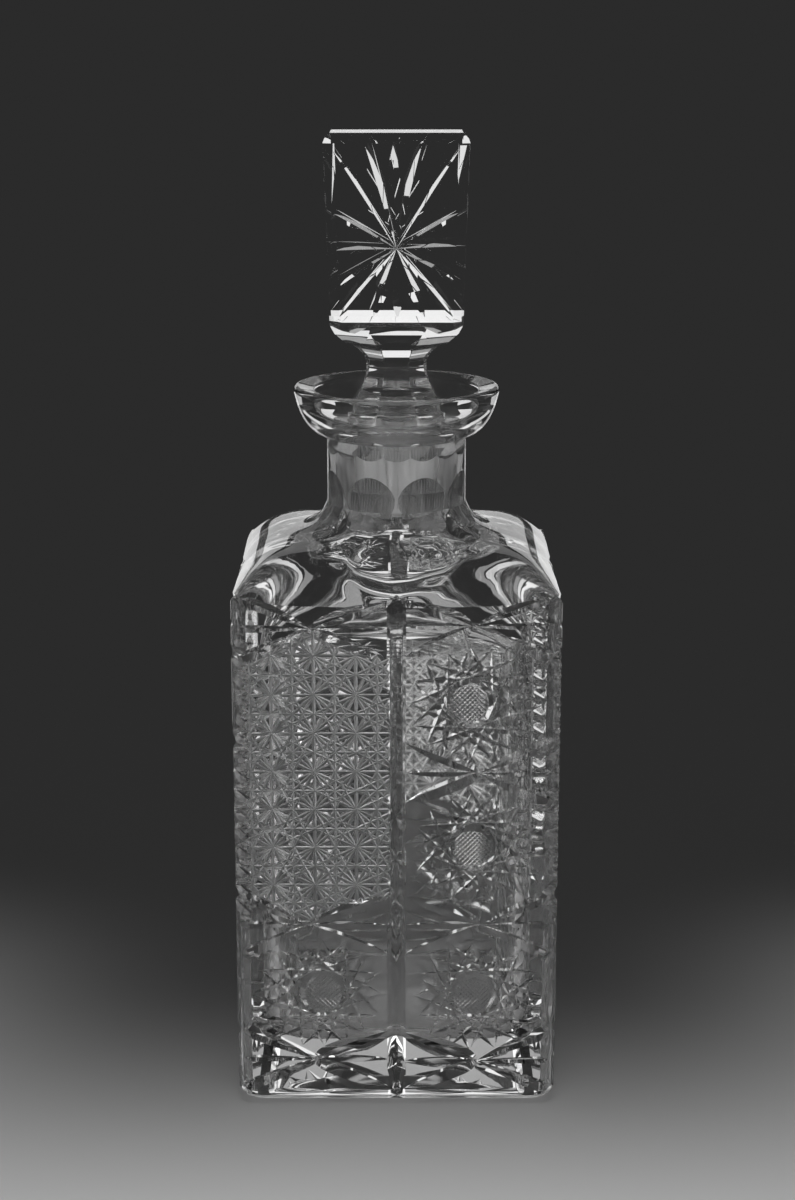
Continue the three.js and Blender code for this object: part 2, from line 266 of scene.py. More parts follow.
def squarePlan(half, corner):
    # a square with round corners: straight runs, then quarter arcs, anticlockwise from -Y
    b = bottle
    run = np.linspace(-1, 1, b["faceSteps"] + 1) * (half - corner)
    a = np.linspace(0, np.pi / 2, b["cornerSteps"] + 1)[1:-1]
    across = np.concatenate([run, half - corner + corner * np.sin(a)])
    out = np.concatenate([np.full(len(run), half), half - corner + corner * np.cos(a)])
    sides = [np.stack(quarterTurned(across, -out, side), axis=1) for side in range(4)]
    return np.concatenate(sides)


def roundPlan(radius):
    # a circle with as many points, in step with the square's
    perSide = bottle["faceSteps"] + bottle["cornerSteps"]
    k = np.arange(4 * perSide)
    a = -3 * np.pi / 4 + (k + bottle["cornerSteps"] / 2) * (np.pi / 2 / perSide)
    return np.stack([radius * np.cos(a), radius * np.sin(a)], axis=1)


def level(plan, height):
    # a row of points: the plan with one height, or with a height for each point
    return np.column_stack([plan, np.broadcast_to(height, len(plan))])


def pillow(plan, half, edge, rise, power, lift, neck, flare, reach, fullness=1.0):
    # a square dome with a flare round the neck: the edge's height, plus the rise times
    # (1 - u to the power) (1 - v to the power) for the shares u and v of the half width, plus a
    # lift at the corners and a flare that dies away from the neck; a fullness under 1 lets the
    # dome leave the walls upright, as the inside of blown glass does
    u, v = np.abs(plan[:, 0]) / half, np.abs(plan[:, 1]) / half
    beyond = np.maximum(0, np.hypot(plan[:, 0], plan[:, 1]) - neck)
    crown = np.maximum(0, (1 - u ** power) * (1 - v ** power)) ** fullness
    dome = edge + rise * crown + lift * (u * v) ** bottle["liftPower"]
    return dome + flare * np.exp(-beyond / reach)


def ripples(plan, inner, outer):
    # blown glass is never quite even inside: sine rings out from the throat and slow sine waves
    # round it, fading to nothing at the throat and the walls
    b = bottle
    radius, turn = np.hypot(plan[:, 0], plan[:, 1]), np.arctan2(plan[:, 1], plan[:, 0])
    reach = np.clip((radius - inner) / (outer - inner), 0, 1)
    waves = 0
    for share, pace, sway, lobes, phase in b["rippleRings"]:
        waves = waves + share * np.sin(radius * pace + sway * np.sin(turn * lobes + phase))
    for lobes, phase, share in b["rippleLobes"]:
        waves = waves + share * np.sin(turn * lobes + phase + radius * b["rippleTwist"])
    return b["ripple"] * waves * np.sin(np.pi * reach) ** b["rippleFade"]


def shoulderRows(half, corner, neck, count, spread, heights):
    # rows from the square's edge in to the neck's circle: the half width follows t to the power
    # of the spread, and the square turns into the circle with t squared
    rows = []
    for t in np.linspace(0, 1, count):
        inner = blend(half, neck, t ** spread)
        square = squarePlan(inner, blend(corner, inner * bottle["innerCorner"], t))
        plan = blend(square, roundPlan(inner), t * t)
        rows.append(level(plan, heights(plan)))
    return rows


def bottleRows():
    # all rows of the bottle, from the underside up the outside, over the rim and down the inside
    b = bottle
    # the bottle stands on a ring; inside it the underside is ground a little hollow
    rows = [level(squarePlan(halfBody - inset, b["cornerRadius"]), z)
            for inset, z in b["underside"]]
    edge = b["baseEdge"]
    for inset, z in arc((edge, edge), (-edge, -edge), 90, 0, b["baseEdgeSteps"]):
        rows.append(level(squarePlan(halfBody - inset, b["cornerRadius"]), z))
    wallRow = len(rows) - 1

    def outside(plan):
        return pillow(plan, halfBody, b["shoulderEdge"], b["shoulderRise"], b["shoulderPower"],
                      b["cornerLift"], b["neckRadius"], b["flareRise"], b["flareReach"])

    rows += shoulderRows(halfBody, b["cornerRadius"], b["neckRadius"],
                         b["shoulderSteps"], b["shoulderSpread"], outside)
    rows += [level(roundPlan(b["neckRadius"]), z) for z in b["neckRings"]]

    rim, lip = b["rimRound"], b["lipRound"]
    rimMiddle, lipTop = rimTop - rim, rimTop - b["lipDrop"]
    cup = [
        bezier([(b["neckRadius"], b["cupBottom"]), b["cupFull"], (b["rimRadius"], rimMiddle)],
               b["cupSteps"]),
        arc((b["rimRadius"] - rim, rimMiddle), (rim, rim), *b["rimArc"], b["roundSteps"]),
        arc((b["lipRadius"] + lip, lipTop - lip), (lip, lip), *b["lipArc"], b["roundSteps"]),
        bezier([(b["lipRadius"], lipTop - b["bowlDrop"]), b["bowl"], b["bowlFoot"]],
               b["bowlSteps"]),
    ]
    for radius, z in np.concatenate(cup):
        rows.append(level(roundPlan(radius), z))

    seatRow = len(rows) + 1
    throat = b["seatRadius"] - b["seatTaper"] * (b["seatTop"] - b["seatBottom"])
    wider, higher = b["seatLead"]
    for radius, z in ((b["seatRadius"] + wider, b["seatTop"] + higher),
                      (b["seatRadius"], b["seatTop"] - b["seatLeadDrop"]),
                      (throat, b["seatBottom"])):
        rows.append(level(roundPlan(radius), z))

    bell = b["seatBottom"] - b["cavityEdge"] - b["cavityRise"]

    def inside(plan):
        dome = pillow(plan, b["cavityHalf"], b["cavityEdge"], b["cavityRise"], b["cavityPower"],
                      0, throat, bell, b["throatReach"], b["cavityFullness"])
        return dome + ripples(plan, throat, b["cavityHalf"])

    # its first row would lie on the throat's
    rows += shoulderRows(b["cavityHalf"], b["cavityCorner"], throat + b["throatMargin"],
                         b["insideRows"], b["insideSpread"], inside)[::-1][1:]
    turn = b["floorRound"]
    for inset, z in arc((turn, b["floor"] + turn), (-turn, -turn), 0, 90, b["floorSteps"]):
        corner = b["cavityCorner"] - inset * b["floorCorner"]
        rows.append(level(squarePlan(b["cavityHalf"] - inset, corner), z))

    finish = np.zeros(len(rows) - 1)
    finish[seatRow] = 1.0  # ground to the plug
    finish[seatRow + b["insideRows"] // 2:] = b["insideHaze"]
    return np.stack(rows), wallRow, finish


def rawBottle():
    # the rows skinned; between the base edge and the shoulder the wall is one big face on each
    # side and a few narrow ones on each corner, so that cuts stay clean
    rows, wallRow, finish = bottleRows()
    width = rows.shape[1]
    perSide, steps = width // 4, bottle["faceSteps"]
    verts, faces = skin(rows, gaps=(wallRow,))
    ends = [0.0, bottle["insideHaze"]]  # the underside and the floor of the cavity
    satin = np.concatenate([np.repeat(np.delete(finish, wallRow), width), ends])
    for side in range(4):
        low = [wallRow * width + (side * perSide + k) % width for k in range(perSide + 1)]
        high = [i + width for i in low]
        faces.append(low[:steps + 1] + high[:steps + 1][::-1])
        for k in range(steps, perSide):
            faces.append([low[k], low[k + 1], high[k + 1], high[k]])
    satin = np.concatenate([satin, np.zeros(len(faces) - len(satin))])
    return meshPiece("cutGlassBottle", verts, faces, satin)


# The cuts on the bottle: places are (across, up) on a side, angles are from the face's normal

cutting = dict(
    flatHalf=42.9,
    # a flat along each corner
    chamferMargin=1.5, chamferReach=4.0, chamferHeights=(-1.0, 172.0),
    # the groove down the middle of each side: a broad V and a steeper one in it
    grooveHalf=2.75, grooveDepth=1.6, grooveCore=2.3, coreFlank=45.0,
    grooveFoot=0.5, grooveTop=157.0, grooveRunOut=0.07, grooveStations=(0, 0.02, 0.045, 0.07, 1),
    # fans of leaves: their middles, of which the first ones stand at the top
    fans=((-24.3, 147.7), (21.6, 148.4), (23.6, 104.6), (-26.4, 57.6), (25.0, 57.6),
          (-24.6, 15.0), (24.0, 14.4)),
    topFans=2, topLeafTip=0.6, leafRise=9.0, leafDepth=1.45, crossDepth=0.85,
    leafFlanks=(47, 62), crossFlanks=(55, 55), leafOverrun=2.6, leafGrooveShare=0.9,
    leafStations=(0, 0.025, 0.06, 0.12, 0.2, 0.3, 0.42, 0.55, 0.68, 0.8, 0.9, 1),
    outerTurn=0.52, outerPower=0.85, outerLift=0.015,
    # hobstars: their middles, and the side to which their tips reach further
    stars=((20.9, 125.4, 1), (22.0, 81.4, 1), (22.3, 35.1, 1), (-21.5, 35.8, -1)),
    starTips=16, starSkip=6, starRadius=17.3, starReach=4.2, starDepth=1.08, starFlank=53,
    starStations=(0, 0.1, 0.28, 0.5, 0.72, 0.9, 1), tipSway=0.014, tipUneven=0.3,
    hatchRadius=5.35, hatchPitch=1.02, hatchDepth=0.27, hatchFlank=52, hatchLines=5,
    hatchMargin=0.2, hatchSatin=0.3,
    # the lace: one cell of its lattice, and for each family of lines its slope and its step
    lacePanel=((-45.8, 66.0), (-26.4, 57.9), (-1.4, 66.3), (-1.4, 138.4), (-24.3, 147.4),
               (-45.8, 139.6)),
    laceOrigin=(-36.0, 70.1), laceCell=(12.15, 11.6), laceDepth=0.46, laceFlank=50,
    laceLines=(-40, 60), laceSway=0.07, laceUneven=0.05, laceShortest=1.0, laceSatin=0.5,
    laceFamilies=(((0, 1), (0.5, 0)), ((1, 0), (0, 0.5)), ((1, 1), (1, 0)), ((1, -1), (1, 0)),
                  ((1, 2), (0.5, 0)), ((1, -2), (0.5, 0)), ((2, 1), (0, 0.5)), ((2, -1), (0, 0.5))),
    # nicks on the corners beside the lace
    nickLow=59.0, nickHigh=146.0, nickPitch=5.8, nickWidth=3.6, nickRise=2.2, nickDepth=0.62,
    nickSway=0.12, nickReach=(0.35, 1.0), nickStations=(0, 0.3, 0.6, 0.85, 1), nickTaper=0.6,
    nickLift=0.02,
    # flats on the neck, as (radius, height)
    flutes=8, fluteSweep=((37.0, 167.8), (18.6, 166.4), (19.4, 180.0)), fluteSweepSteps=22,
    fluteTop=((19.4, 180.0), (19.9, 184.0), (22.4, 190.0)), fluteTopSteps=6,
    fluteOutside=((44.0, 190.0), (44.0, 168.2)),
    collarFacets=16,
    collar=((20.9, 190.4), (20.2, 192.6), (19.8, 195.3), (23.0, 195.3), (23.0, 190.4)),
)


def outerLeaf(t):
    # a leaf that runs out over the corner: a sine that is still deep where it leaves the face
    c = cutting
    return np.sin(t * np.pi * c["outerTurn"]) ** c["outerPower"] - c["outerLift"]


def leafTool(corner, row):
    # one leaf of every fan: corner -1 runs to the groove and 1 to the body's corner, row is 1 for
    # the upper leaf, 0 for the small level one and -1 for the lower
    c = cutting
    starts, ends = [], []
    for number, (x, z) in enumerate(c["fans"]):
        side = 1 if x > 0 else -1
        if corner > 0:
            tip = side * (c["flatHalf"] + c["leafOverrun"])
        elif number < c["topFans"] and row > 0:
            tip = -side * c["topLeafTip"]
        else:
            tip = side * c["grooveHalf"] * c["leafGrooveShare"]
        starts.append((x, z))
        ends.append((tip, z + row * c["leafRise"]))
    starts, ends = np.array(starts), np.array(ends)
    right = ends[:, 0] > starts[:, 0]
    depth = c["leafDepth"] if row else c["crossDepth"]
    flanks = c["leafFlanks"] if row else c["crossFlanks"]
    keel = outerLeaf if corner > 0 else leaf
    shapes = []
    for chosen, swap in ((right, row > 0), (~right, row < 0)):
        order = flanks[::-1] if swap else flanks
        shapes.append(grooves(starts[chosen], ends[chosen], depth, keel, c["leafStations"], order))
    return meshPiece("leaf", *onSides(together(shapes), halfBody))


def grooveTools():
    # the two V cuts of the middle groove, one in the other
    c = cutting
    flank = np.degrees(np.arctan(c["grooveHalf"] / c["grooveDepth"]))

    def keel(t):
        # even, running out in a straight line over the last stretch at the base
        return np.minimum(t / c["grooveRunOut"], 1)

    tools = []
    for depth, slope in ((c["grooveDepth"], flank), (c["grooveCore"], c["coreFlank"])):
        shape = grooves([(0, c["grooveFoot"])], [(0, c["grooveTop"])], depth, keel,
                        c["grooveStations"], (slope, slope))
        tools.append(meshPiece("groove", *onSides(shape, halfBody)))
    return tools


def starTool(k):
    # chord k and its opposite of every hobstar: each joins two tips, so many apart on a circle
    # that bulges to one side with the cosine squared, and skims the button in the middle
    c = cutting
    starts, ends = [], []
    for x, z, side in c["stars"]:
        for first in (k, k + c["starTips"] // 2):
            tips = []
            for tip in (first, first + c["starSkip"]):
                a = tip * 2 * np.pi / c["starTips"] + rng.normal(0, c["tipSway"])
                bulge = c["starReach"] * max(0, np.cos(a) * side) ** 2
                r = c["starRadius"] + bulge + rng.normal(0, c["tipUneven"])
                tips.append((x + r * np.cos(a), z + r * np.sin(a)))
            starts.append(tips[0])
            ends.append(tips[1])
    shape = grooves(starts, ends, c["starDepth"], lens, c["starStations"], (c["starFlank"],) * 2)
    return meshPiece("chord", *onSides(shape, halfBody))


def hatchTool(slant):
    # fine parallel cuts across the buttons, each as long as the circle's chord there
    c = cutting
    direction = np.array([1, slant]) / 2 ** 0.5
    across = np.array([-direction[1], direction[0]])
    offset = np.arange(-c["hatchLines"], c["hatchLines"] + 1) * c["hatchPitch"]
    offset = offset[np.abs(offset) < c["hatchRadius"] - c["hatchMargin"]]
    reach = np.sqrt(c["hatchRadius"] ** 2 - offset ** 2)
    centres = np.array([(x, z) for x, z, side in c["stars"]])
    middle = (centres[:, None, :] + across * offset[:, None]).reshape(-1, 2)
    along = direction * np.tile(reach, len(centres))[:, None]
    shape = grooves(middle - along, middle + along, c["hatchDepth"], even, (0, 1),
                    (c["hatchFlank"],) * 2)
    return meshPiece("hatch", *onSides(shape, halfBody), satin=c["hatchSatin"])


def insidePanel(point, direction, panel, shortest):
    # where a line enters and leaves a convex outline given anticlockwise, or nothing: the last
    # edge crossed inwards and the first one crossed outwards
    enter, leave = -np.inf, np.inf
    for a, b in zip(panel, np.roll(panel, -1, axis=0)):
        normal = np.array([-(b - a)[1], (b - a)[0]])
        pace = normal @ direction
        if abs(pace) < 1e-9:  # parallel to this edge
            if normal @ (a - point) > 0:
                return None
            continue
        t = normal @ (a - point) / pace
        if pace > 0:
            enter = max(enter, t)
        else:
            leave = min(leave, t)
    return (enter, leave) if leave - enter > shortest else None


def laceTool(slope, step):
    # one family of parallel lines of the lace panel; the lattice's knots are the daisies
    c = cutting
    panel, cell = np.array(c["lacePanel"]), np.array(c["laceCell"])
    direction = np.array(slope) * cell
    direction = direction / np.linalg.norm(direction)
    starts, ends = [], []
    for k in range(*c["laceLines"]):
        place = np.array(c["laceOrigin"]) + np.array(step) * k * cell
        point = place + rng.normal(0, c["laceSway"], 2)
        reach = insidePanel(point, direction, panel, c["laceShortest"])
        if reach:
            starts.append(point + direction * reach[0])
            ends.append(point + direction * reach[1])
    depth = c["laceDepth"] * (1 + rng.normal(0, c["laceUneven"], len(starts)))
    shape = grooves(starts, ends, depth, even, (0, 1), (c["laceFlank"],) * 2)
    return meshPiece("lace", *onSides(shape, halfBody), satin=c["laceSatin"])


def chamferTool():
    # a flat down each corner: a tall three-sided prism outside it, on every side. Open fault: its
    # faces point inwards, so carve doubles the corner's skin and leaves the flat inside the glass
    c = cutting
    inner = halfBody - bottle["chamfer"] - c["chamferMargin"]
    outer = halfBody + c["chamferMargin"]
    far = outer + c["chamferReach"]
    plan = np.array([(far, far), (outer, inner), (inner, outer)])
    rows = np.stack([level(plan, z) for z in c["chamferHeights"]])
    return meshPiece("chamfer", *onSides(skin(rows), 0.0))


def nickTool(slant):
    # the lace's lines run over onto the corner beside them, where each ends in a small nick
    c = cutting
    across = c["nickWidth"]
    between = c["nickPitch"] / 2 if slant > 0 else 0
    up = np.arange(c["nickLow"], c["nickHigh"], c["nickPitch"]) + between
    up = up + rng.normal(0, c["nickSway"], len(up))
    reach = rng.uniform(*c["nickReach"], len(up))
    starts = np.column_stack([np.full(len(up), across), up])
    ends = np.column_stack([across - 2 * across * reach, up + slant * reach * c["nickRise"]])

    def keel(t):
        # deepest at the edge, then away as a power of what is left
        return (1 + c["nickLift"]) * (1 - t) ** c["nickTaper"] - c["nickLift"]

    shape = grooves(starts, ends, c["nickDepth"], keel, c["nickStations"], (c["laceFlank"],) * 2)
    distance = (2 * halfBody - bottle["chamfer"]) / 2 ** 0.5
    return meshPiece("nick", *onSides(shape, distance, (0.5, 1.5, 2.5, 3.5)))


def fluteTool():
    # eight flats that sweep up from the shoulder onto the neck and end there in arches; the
    # radius is to the middle of a flat, so the corners lie further out by the cosine. Open fault:
    # the profile runs clockwise, so the faces point inwards, as the chamfer's do
    c = cutting
    sweep = bezier(c["fluteSweep"], c["fluteSweepSteps"])
    top = bezier(c["fluteTop"], c["fluteTopSteps"])[1:]
    profile = np.concatenate([sweep, top, c["fluteOutside"]])
    profile[:, 0] /= np.cos(np.pi / c["flutes"])
    return meshPiece("flute", *turned(profile, c["flutes"], 0.0, closedRing=True))


def collarTool():
    # short facets round the neck just under the cup; the same open fault as the flutes
    facets = cutting["collarFacets"]
    profile = np.array(cutting["collar"])
    profile[:, 0] /= np.cos(np.pi / facets)
    return meshPiece("collar", *turned(profile, facets, np.pi / facets, closedRing=True))


def makeBottle():
    # the blown shape, then every cut in turn
    piece = rawBottle()
    tools = [chamferTool(), fluteTool(), collarTool()]
    tools += [laceTool(slope, step) for slope, step in cutting["laceFamilies"]]
    tools += [nickTool(-1), nickTool(1)]
    tools += [starTool(k) for k in range(cutting["starTips"] // 2)]
    tools += [hatchTool(1), hatchTool(-1)]
    tools += [leafTool(corner, row) for corner in (-1, 1) for row in (1, 0, -1)]
    tools += grooveTools()
    carve(piece, tools)
    polish(piece)
    return piece


# The stopper

stopper = dict(
    # the head: its rows below, then inset, thinning, narrowing of the bevel, the bevel's depth
    # and distance from the top for the two rows of its top edge
    headThick=11.0, footHalf=19.5, bevelWidth=3.0, bevelDepth=1.25, footHeight=229.0,
    frontFoot=232.0, footThick=6.0, footBevelDepth=0.5, footBottom=222.0, topBevel=2.9,
    topRows=((0.5, 1.5, 0.3, 0.5, 1.6), (2.0, 2.1, 1.4, 0.4, 0.0)),
    roundSides=96,
    underside=((0.02, 224.6), (8.5, 225.3), (13.0, 226.1), (18.0, 227.4), (21.0, 229.0),
               (30.0, 238.0), (34.0, 238.0), (34.0, 210.0), (0.02, 210.0)),
    # the stem, as (radius, height)
    stemSides=8, stemFoot=14.4, stemFootHeights=(198.5, 202.5), stemBend=(12.3, 206.6),
    waistPull=(8.4, 212.5), stemWaist=(8.9, 217.6), flarePull=(9.3, 221.6),
    flareEnd=(15.3, 223.8), stemInHead=((18.2, 226.4), (19.4, 228.6), (14.0, 229.5)),
    stemSteps=(5, 9, 8), flareThick=9.5, flareBlend=6.0, flareSquareness=4,
    # the plug and its collar
    plugRadius=13.2, plugTaper=bottle["seatTaper"], seatTop=bottle["seatTop"],
    tipRound=0.9, tipSteps=5,
    collarLead=0.2, collarSwell=0.1, collarSwellHeight=198.8, collarHeight=200.8, collarSteps=6,
    collarSlim=0.02, collarTop=203.9, collarInside=(12.6, 204.6),
    # the star's rays: where each one ends on the face, and its greatest depth
    rays=((-18.4, 279.6, 0.72), (18.2, 279.8, 0.72), (-16.8, 231.6, 0.72), (16.6, 231.6, 0.72),
          (-9.0, 280.6, 1.2), (-1.0, 281.0, 1.2), (7.2, 280.8, 1.2),
          (-6.8, 231.4, 1.1), (0.3, 231.2, 1.1), (8.3, 231.4, 1.1),
          (-18.2, 261.6, 0.8), (-17.8, 251.0, 0.75), (-17.0, 240.4, 0.8),
          (18.0, 261.8, 0.8), (17.6, 252.2, 0.75), (16.8, 242.4, 0.8)),
    starMiddle=251.5, rayFlank=57, rayOverlap=0.3, rayStations=(0, 0.3, 0.62, 0.86, 1),
    rayKeel=(-endLift, 0.5, 1.0, 0.62, -endLift), backStar=0.16,
)


def headSection(half, thick, bevelWidth, bevelDepth, z):
    # a level section of the slab: a rectangle with its front and back edges bevelled
    w, t, iw, it = half, thick, half - bevelWidth, thick - bevelDepth
    return np.array([(w, -it, z), (w, it, z), (iw, t, z), (-iw, t, z),
                     (-w, it, z), (-w, -it, z), (-iw, -t, z), (iw, -t, z)])


def rawHead():
    # the slab: sections that widen in a straight line from the foot to the top edge
    s = stopper
    thick, wide, deep = s["headThick"], s["bevelWidth"], s["bevelDepth"]
    edge = headTop - s["topBevel"]

    def widthAt(z):
        return blend(s["footHalf"], headHalf, (z - s["footHeight"]) / (edge - s["footHeight"]))

    rows = [
        headSection(widthAt(s["footBottom"]), s["footThick"], wide, s["footBevelDepth"],
                    s["footBottom"]),
        headSection(widthAt(s["frontFoot"]), thick, wide, deep, s["frontFoot"]),
        headSection(headHalf, thick, wide, deep, edge),
    ]
    for inset, thinner, narrower, bevel, drop in s["topRows"]:
        rows.append(headSection(headHalf - inset, thick - thinner, wide - narrower, bevel,
                                headTop - drop))
    return meshPiece("cutGlassStopper", *skin(np.stack(rows)))


def undersideTool():
    # everything below a shallow cone under the head, so that its faces end in arcs
    profile = np.array(stopper["underside"])[::-1]
    return meshPiece("underside", *turned(profile, stopper["roundSides"]))


def stemSolid():
    # eight-sided, from the plug's collar through the waist and out under the head
    s = stopper
    footSteps, waistSteps, flareSteps = s["stemSteps"]
    low, high = s["stemFootHeights"]
    foot = bezier([(s["stemFoot"], low), (s["stemFoot"], high), s["stemBend"]], footSteps)
    waist = bezier([s["stemBend"], s["waistPull"], s["stemWaist"]], waistSteps)[1:]
    flare = bezier([s["stemWaist"], s["flarePull"], s["flareEnd"]], flareSteps)[1:]
    profile = np.concatenate([foot, waist, flare, s["stemInHead"]])
    profile[:, 0] /= np.cos(np.pi / s["stemSides"])
    verts, faces = turned(profile, s["stemSides"], np.pi / s["stemSides"])
    # towards the head the flare keeps its width across the face but is no thicker than the slab
    inHead = np.clip((verts[:, 2] - s["stemWaist"][1]) / s["flareBlend"], 0, 1)
    power = s["flareSquareness"]
    held = verts[:, 1] / (1 + np.abs(verts[:, 1] / s["flareThick"]) ** power) ** (1 / power)
    verts[:, 1] = blend(verts[:, 1], held, inHead)
    return meshPiece("stem", verts, faces)


def plugSolid():
    # round plug: a rounded tip, the ground taper, and the collar above it
    s = stopper
    r, steps, sides = s["tipRound"], s["tipSteps"], s["roundSides"]
    tipRadius = s["plugRadius"] - s["plugTaper"] * (s["seatTop"] - (plugTip + r))
    lower = arc((tipRadius - r, plugTip + r), (r, r), -90, 0, steps)
    upper = bezier([(s["plugRadius"], s["seatTop"] + s["collarLead"]),
                    (s["stemFoot"] + s["collarSwell"], s["collarSwellHeight"]),
                    (s["stemFoot"], s["collarHeight"])], s["collarSteps"])
    end = [(s["stemFoot"] - s["collarSlim"], s["collarTop"]), s["collarInside"]]
    verts, faces = turned(np.concatenate([lower, upper, end]), sides)
    satin = np.zeros(len(faces))
    satin[(steps - 1) * sides:steps * sides] = 1.0  # the taper's faces
    return meshPiece("plug", verts, faces, satin)


def rayTool(ray):
    # one leaf of the star, front and back; it starts just behind the middle so that all meet
    s = stopper
    x, z, depth = ray
    middle = np.array([0, s["starMiddle"]])
    out = np.array([x, z]) - middle
    start = middle - s["rayOverlap"] * out / np.linalg.norm(out)

    def keel(t):
        # straight edges: deeper away from the middle, deepest beyond the half, then to a point
        return np.interp(t, s["rayStations"], s["rayKeel"])

    shapes = []
    for side, share in ((0, 1.0), (2, s["backStar"])):
        cut = grooves([start], [middle + out], depth * share, keel, s["rayStations"],
                      (s["rayFlank"],) * 2)
        shapes.append(onSides(cut, s["headThick"], (side,)))
    return meshPiece("ray", *together(shapes))


def makeStopper():
    # the head, trimmed below, then the stem and plug added and the star cut
    piece = rawHead()
    carve(piece, [undersideTool()])
    carve(piece, [stemSolid()], "UNION")
    carve(piece, [plugSolid()], "UNION")
    carve(piece, [rayTool(ray) for ray in stopper["rays"]])
    polish(piece)
    return piece


bottlePiece = makeBottle()
print("bottle carved", len(bottlePiece.data.polygons), "faces")
stopperPiece = makeStopper()
print("stopper carved", len(stopperPiece.data.polygons), "faces")

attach(bottlePiece, "bottle_body")
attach(stopperPiece, "stopper_body")
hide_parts("bottle")
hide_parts("stopper")


# Materials

crystalLook = dict(
    ior=1.545, shadowTint=0.93,
    polish=0.012, ground=0.3,  # roughness of the polished cuts, from satin 0 to 1
    satinPolish=0.14, satinGround=0.42, satinClear=0.95,  # the same for the softer faces
    streakFrom=0.8, streakScale=900.0, streakStretch=(1, 1, 0.05), streakDepth=1.2,
)


def finishGroup():
    # the glass's roughness: polished, softer where the fine wheel cut, rough and streaked where
    # the plug is ground; Polish blended to Ground by satin, plus (noise - 0.5) times the depth
    # of the streaks on the faces with satin above streakFrom
    look = crystalLook
    group = bpy.data.node_groups.new("crystalFinish", "ShaderNodeTree")
    for name in ("Polish", "Ground"):
        socket = group.interface.new_socket(name, in_out="INPUT", socket_type="NodeSocketFloat")
        socket.default_value = look[name.lower()]
    group.interface.new_socket("Roughness", in_out="OUTPUT", socket_type="NodeSocketFloat")
    nodes, links = group.nodes, group.links
    entry, leave = nodes.new("NodeGroupInput"), nodes.new("NodeGroupOutput")
    satin = nodes.new("ShaderNodeAttribute")
    satin.attribute_name = "satin"
    spread = nodes.new("ShaderNodeMapRange")
    links.new(satin.outputs["Fac"], spread.inputs["Value"])
    links.new(entry.outputs["Polish"], spread.inputs["To Min"])
    links.new(entry.outputs["Ground"], spread.inputs["To Max"])
    place = nodes.new("ShaderNodeTexCoord")
    stretch = nodes.new("ShaderNodeMapping")
    stretch.inputs["Scale"].default_value = look["streakStretch"]
    streaks = nodes.new("ShaderNodeTexNoise")
    streaks.inputs["Scale"].default_value = look["streakScale"]
    links.new(place.outputs["Object"], stretch.inputs["Vector"])
    links.new(stretch.outputs["Vector"], streaks.inputs["Vector"])
    onGround = nodes.new("ShaderNodeMapRange")
    onGround.inputs["From Min"].default_value = look["streakFrom"]
    onGround.inputs["To Max"].default_value = look["streakDepth"]
    links.new(satin.outputs["Fac"], onGround.inputs["Value"])
    centred = nodes.new("ShaderNodeMath")
    centred.operation = "SUBTRACT"
    centred.inputs[1].default_value = 0.5
    links.new(streaks.outputs["Fac"], centred.inputs[0])
    uneven = nodes.new("ShaderNodeMath")
    uneven.operation = "MULTIPLY_ADD"
    uneven.use_clamp = True
    links.new(centred.outputs[0], uneven.inputs[0])
    links.new(onGround.outputs["Result"], uneven.inputs[1])
    links.new(spread.outputs["Result"], uneven.inputs[2])
    links.new(uneven.outputs[0], leave.inputs["Roughness"])
    return group


crystalFinish = finishGroup()


def crystal(name, polished, ground, transmission):
    # clear cut crystal with that finish; lamps reach the floor through it
    material = bpy.data.materials.new(name)
    material.use_nodes = True
    nodes, links = material.node_tree.nodes, material.node_tree.links
    shader = nodes["Principled BSDF"]
    shader.inputs["Base Color"].default_value = (1, 1, 1, 1)
    shader.inputs["IOR"].default_value = crystalLook["ior"]
    shader.inputs["Transmission Weight"].default_value = transmission
    finish = nodes.new("ShaderNodeGroup")
    finish.node_tree = crystalFinish
    finish.inputs["Polish"].default_value = polished
    finish.inputs["Ground"].default_value = ground
    links.new(finish.outputs["Roughness"], shader.inputs["Roughness"])
    path = nodes.new("ShaderNodeLightPath")
    clear = nodes.new("ShaderNodeBsdfTransparent")
    clear.inputs["Color"].default_value = (crystalLook["shadowTint"],) * 3 + (1,)
    mix = nodes.new("ShaderNodeMixShader")
    links.new(path.outputs["Is Shadow Ray"], mix.inputs["Fac"])
    links.new(shader.outputs["BSDF"], mix.inputs[1])
    links.new(clear.outputs["BSDF"], mix.inputs[2])
    links.new(mix.outputs["Shader"], nodes["Material Output"].inputs["Surface"])
    return material


look = crystalLook
for piece, name in ((bottlePiece, "bottle"), (stopperPiece, "stopper")):
    clear = crystal(name + "Crystal", look["polish"], look["ground"], 1.0)
    soft = crystal(name + "SatinCut", look["satinPolish"], look["satinGround"], look["satinClear"])
    piece.data.materials.append(clear)
    piece.data.materials.append(soft)
print("materials made", len(bpy.data.materials))


# Floor, lamps, world and camera, in metres

